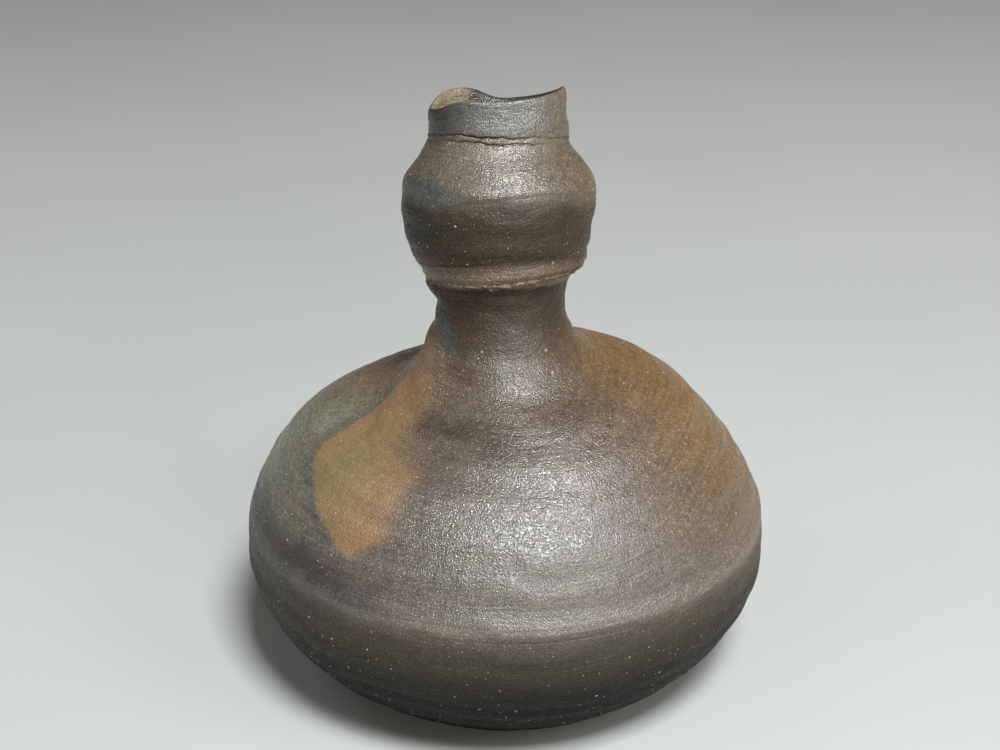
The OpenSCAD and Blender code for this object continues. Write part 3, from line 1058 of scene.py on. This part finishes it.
def shaded_crevices_and_mouth(t, colour, high):
    """Crevices painted dark as shade; inside the mouth, painted light on one side and painted shade
    on the rest.
    """
    depth, in_bore, _ = t.carried("wear")
    if high > COLLAR_FROM:
        # Inside the mouth, one side is painted pale as light falling in, and the rest painted dark
        # as shade.
        from_lit_side = t.math("ABSOLUTE", t.math("ADD", t.bearing, -LIT_MOUTH_BEARING))
        lit_inside = t.smooth(from_lit_side, 24.0, 48.0, 1.0, 0.0)
        inner = t.mix(lit_inside, paint(46, 40, 32), paint(122, 108, 84))
        colour = t.mix(in_bore, colour, inner)
    # The open lines over the joints are painted dark: painted shade in the crevices.
    return t.mix(t.smooth(depth, 0.3, 1.0, 0.0, 0.85), colour, paint(22, 19, 16))


print(f"the mouth is pale round bearing {LIT_MOUTH_BEARING:.0f}")

# %% Grain, streaks and specks
MOTTLE_PER_MM = 0.5
LUMPS_PER_MM = 0.6
GRAIN_PER_MM = 2.6
SAND_PER_MM = 2.5
SPECKS_PER_MM = 0.42


def streaks_round(t):
    """Lines round the wheel, which climb on the right."""
    slant = t.math("MULTIPLY_ADD", t.smooth(t.bearing, 15.0, 75.0), -6.0, t.height)
    round_wheel = t.join(t.times(t.cos, 3.0), t.times(t.sin, 3.0), t.times(slant, 2.0))
    return t.noise(round_wheel, 1.0, 4.0, 0.7)


def uneven(t, colour, calm, streak, grain, near_sand, fleck_pick):
    """A colour made lighter and darker by mottling, streaks, grain and flecks."""
    mottle = t.noise(t.mm, MOTTLE_PER_MM, 4.0, 0.7)
    fleck = t.times(t.smooth(fleck_pick, 0.5, 1.0, -0.16, 1.3),
                    t.smooth(near_sand, 0.2, 0.6, 1.0, 0.0))
    shade = t.total(t.smooth(mottle, 0.3, 0.7, 0.84, 1.1), t.smooth(streak, 0.3, 0.7, -0.2, 0.2),
                    t.smooth(grain, 0.3, 0.7, -0.2, 0.2), fleck)
    change = t.times(t.math("SUBTRACT", shade, 1.0), t.math("SUBTRACT", 1.0, calm))
    return t.vector("SCALE", colour, t.math("ADD", change, 1.0))


def specked(t, colour):
    """Pale specks: a few large ones among many small."""
    distance, speck_colour = t.cells(t.mm, SPECKS_PER_MM)
    pick, size, _ = t.split(speck_colour)
    reach = t.math("MULTIPLY_ADD", t.math("POWER", size, 4.0), 0.11, 0.045)
    speck = t.math("LESS_THAN", distance, reach)
    speck = t.times(speck, t.math("GREATER_THAN", pick, 0.4), 0.45)
    return t.mix(speck, colour, paint(160, 150, 130))


def bumped(t, *bumps):
    """Bumps one over another, each with its height, its strength and its depth in mm."""
    below = {}
    for height, strength, depth in bumps:
        bump = t.node("ShaderNodeBump", {"Strength": strength, "Distance": depth * MM,
                                         "Height": height, **below})
        below = {"Normal": bump.outputs[0]}
    return below["Normal"]


print(f"grains in the skin are {1 / SAND_PER_MM:.1f} mm apart, specks {1 / SPECKS_PER_MM:.1f} mm")


# %% Fired clay
def fired_clay(name, low, high, streaks=0.22):
    """The material for a piece between two heights, with the depth of its streaks in mm."""
    material, t = new_material(name, Skin)
    colour = marked_by_fire_and_painted_light(t, by_height(t, CLAY_BY_HEIGHT), low, high)
    roughness = by_height(t, ROUGH_BY_HEIGHT)
    calm = 0.0
    if low < FLASH_TO and high > FLASH_FROM:
        colour, roughness, calm = ochre_flash(t, colour, roughness)
    colour = shaded_crevices_and_mouth(t, colour, high)
    streak = streaks_round(t)
    grain = t.noise(t.mm, GRAIN_PER_MM, 2.0, 0.6)
    lump = t.noise(t.mm, LUMPS_PER_MM, 2.0, 0.5)
    near_sand, sand_colour = t.cells(t.vector("ADD", t.mm, (0.0, 30.0, 0.0)), SAND_PER_MM)
    gloss_pick, fleck_pick, _ = t.split(sand_colour)
    dome = t.smooth(near_sand, 0.0, 0.75, 1.0, 0.0)
    colour = uneven(t, colour, calm, streak, grain, near_sand, fleck_pick)
    gloss = t.math("MULTIPLY_ADD", gloss_pick, 0.26, -0.15)
    normal = bumped(t, (streak, 0.7, streaks), (lump, 0.6, 0.16), (grain, 0.8, 0.09),
                    (dome, 0.85, 0.08))
    end_material(t, name, {"Base Color": specked(t, colour), "Normal": normal,
                           "Roughness": t.math("ADD", gloss, roughness),
                           "Specular IOR Level": by_height(t, SHINE_BY_HEIGHT)})
    return material


CLAYS = {
    "foot_clay": fired_clay("foot_clay", 0, 5),
    "belly_clay": fired_clay("belly_clay", 5, 36),
    "shoulder_clay": fired_clay("shoulder_clay", 36, 67),
    "neck_clay": fired_clay("neck_clay", 64, 89),
    "bulb_clay": fired_clay("bulb_clay", 87, 117),
    "collar_clay": fired_clay("collar_clay", 116, 127, streaks=0.4),
    "seam_slip": fired_clay("seam_slip", 30, 118),
}

# %% [markdown]
# # The grains
# Grains of feldspar fire paler than the clay, some more than others. One flat colour would look
# like spattered paint, so they get a material of their own. Its tone drifts over a few
# millimetres, so some grains stand out and others nearly vanish.

# %% Grains that show pale
def pale_grain(name):
    material, t = new_material(name)
    mm = t.vector("SCALE", t.node("ShaderNodeTexCoord").outputs["Object"], 1 / MM)
    tone = t.noise(mm, 0.35, 2.0)
    colour = t.mix(t.smooth(tone, 0.35, 0.65), paint(84, 72, 58), paint(150, 138, 118))
    rough = t.smooth(t.noise(mm, 3.0, 2.0), 0.3, 0.7, 0.35, 0.6)
    normal = bumped(t, (t.noise(mm, 4.0, 2.0), 0.4, 0.1))
    end_material(t, name, {"Base Color": colour, "Roughness": rough, "Normal": normal})
    return material


PALE_GRAIN = pale_grain("pale_grain")

# %% [markdown]
# # Every piece, from section to finished clay
# Each piece is turned, marked by the fingers, and then tied to the packed model: it rides on the
# body, it stands for the packed node of the same name, and it takes its finish from a slot. A loop
# over a table does this, because eleven copies of the same lines would soon differ.

# %% Turn, mark and tie the pieces
PIECES = [
    (make_base_slab, "base_slab", "foot_clay"),
    (make_base_coil, "base_coil", "foot_clay"),
    (make_lower_bowl, "lower_bowl", "belly_clay"),
    (make_belly_seam, "belly_seam", "seam_slip"),
    (make_shoulder_dome, "shoulder_dome", "shoulder_clay"),
    (make_neck, "neck", "neck_clay"),
    (make_neck_flare, "neck_flare", "neck_clay"),
    (make_neck_seam, "neck_seam", "seam_slip"),
    (make_upper_bulb, "upper_bulb", "bulb_clay"),
    (make_collar_coil, "collar_coil", "seam_slip"),
    (make_mouth_collar, "mouth_collar", "collar_clay"),
]
LUMPY = {"neck_seam": {"lump_depth": 0.38, "lump_size": 1.3}}
made = {}
for make, node, slot in PIECES:
    marks = LUMPY.get(node, {})
    piece = apply_tree(make(), throwing_marks, material=CLAYS[slot], **marks)
    if node == "base_slab":
        apply_tree(piece, cord_marks, material=CLAYS[slot])
    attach(piece, BODY)
    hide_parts(node)
    made[node] = piece

# %% Scatter the grit
FACES_PER_GRAIN = 80
# Node, slot, grains on a square centimetre, and the seed of their places
GRIT = [("lower_bowl", "belly_clay", 6.0, 1.0), ("shoulder_dome", "shoulder_clay", 6.0, 2.0),
        ("upper_bulb", "bulb_clay", 8.0, 3.0), ("neck", "neck_clay", 5.0, 4.0)]
for node, slot, per_cm2, seed in GRIT:
    grains = apply_tree(made[node], grit, name="grit_on_" + node, grains_per_cm2=per_cm2,
                        seed=seed, material=PALE_GRAIN)
    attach(grains, BODY)
    print(grains.name, len(grains.data.polygons) // FACES_PER_GRAIN, "grains")

# %% [markdown]
# # Floor, light and camera
# The bottle stands on a plain pale floor. One large soft light hangs above it, a little to the
# right, as a ceiling lamp does. A dimmer one fills the right side, a weak cool one the left, and a
# weak low one in front shows the collar. The room adds a faint warm light from all round. The
# camera looks down at the bottle, as someone seated at the table would.

# %% The floor
FLOOR_REACH = 3.0


def make_floor():
    mesh = bpy.data.meshes.new("floor")
    r = FLOOR_REACH
    mesh.from_pydata([(-r, -r, 0), (r, -r, 0), (r, r, 0), (-r, r, 0)], [], [(0, 1, 2, 3)])
    floor = bpy.data.objects.new("floor", mesh)
    bpy.context.scene.collection.objects.link(floor)
    material, t = new_material("pale_floor")
    tone = t.noise(t.node("ShaderNodeTexCoord").outputs["Object"], 9.0, 3.0)
    colour = t.mix(tone, paint(176, 174, 170), paint(184, 182, 178))
    end_material(t, "pale_floor", {"Base Color": colour, "Roughness": 0.7})
    mesh.materials.append(material)


make_floor()

# %% The lights
middle = (cad_box[0] + cad_box[1]) / 2
# Name, bearing (0 in front, 90 on the right), elevation, distance, size, watts, colour
LIGHTS = [
    ("ceiling_light", 20, 58, 1.2, 0.34, 24.5, (0.88, 0.96, 1.0)),
    ("right_light", 58, 34, 1.3, 0.5, 4.4, (1.0, 1.0, 1.0)),
    ("cool_left_light", -90, 50, 1.3, 0.5, 1.6, (0.75, 0.88, 1.0)),
    ("low_front_light", 21, 9, 1.3, 0.25, 4.8, (1.0, 1.0, 1.0)),
]


def soft_light(name, bearing, elevation, distance, size, power, colour):
    """A square light that faces the middle of the bottle."""
    light = bpy.data.lights.new(name, "AREA")
    light.size = size
    light.energy = power
    light.color = colour
    b, e = math.radians(bearing), math.radians(elevation)
    away = Vector((math.sin(b) * math.cos(e), -math.cos(b) * math.cos(e), math.sin(e)))
    lamp = bpy.data.objects.new(name, light)
    lamp.location = middle + away * distance
    lamp.rotation_euler = away.to_track_quat("Z", "Y").to_euler()
    bpy.context.scene.collection.objects.link(lamp)


for row in LIGHTS:
    soft_light(*row)
world = bpy.data.worlds.new("room")
world.use_nodes = True
world.node_tree.nodes["Background"].inputs[0].default_value = (0.95, 0.85, 0.7, 1.0)
world.node_tree.nodes["Background"].inputs[1].default_value = 0.12
bpy.context.scene.world = world
print(f"{len(LIGHTS)} lights, {sum(row[5] for row in LIGHTS):.1f} watts in all")

# %% The camera
camera = bpy.data.objects.new("camera", bpy.data.cameras.new("camera"))
camera.data.lens = 61.2
camera.location = (-0.0012, -0.3274, 0.2150)
camera.rotation_euler = (math.radians(65.37), 0, 0)
bpy.context.scene.collection.objects.link(camera)
bpy.context.scene.camera = camera
bpy.context.scene.view_settings.view_transform = "Standard"
print(f"the camera stands {-camera.location.y:.2f} m in front and {camera.location.z:.2f} m up")
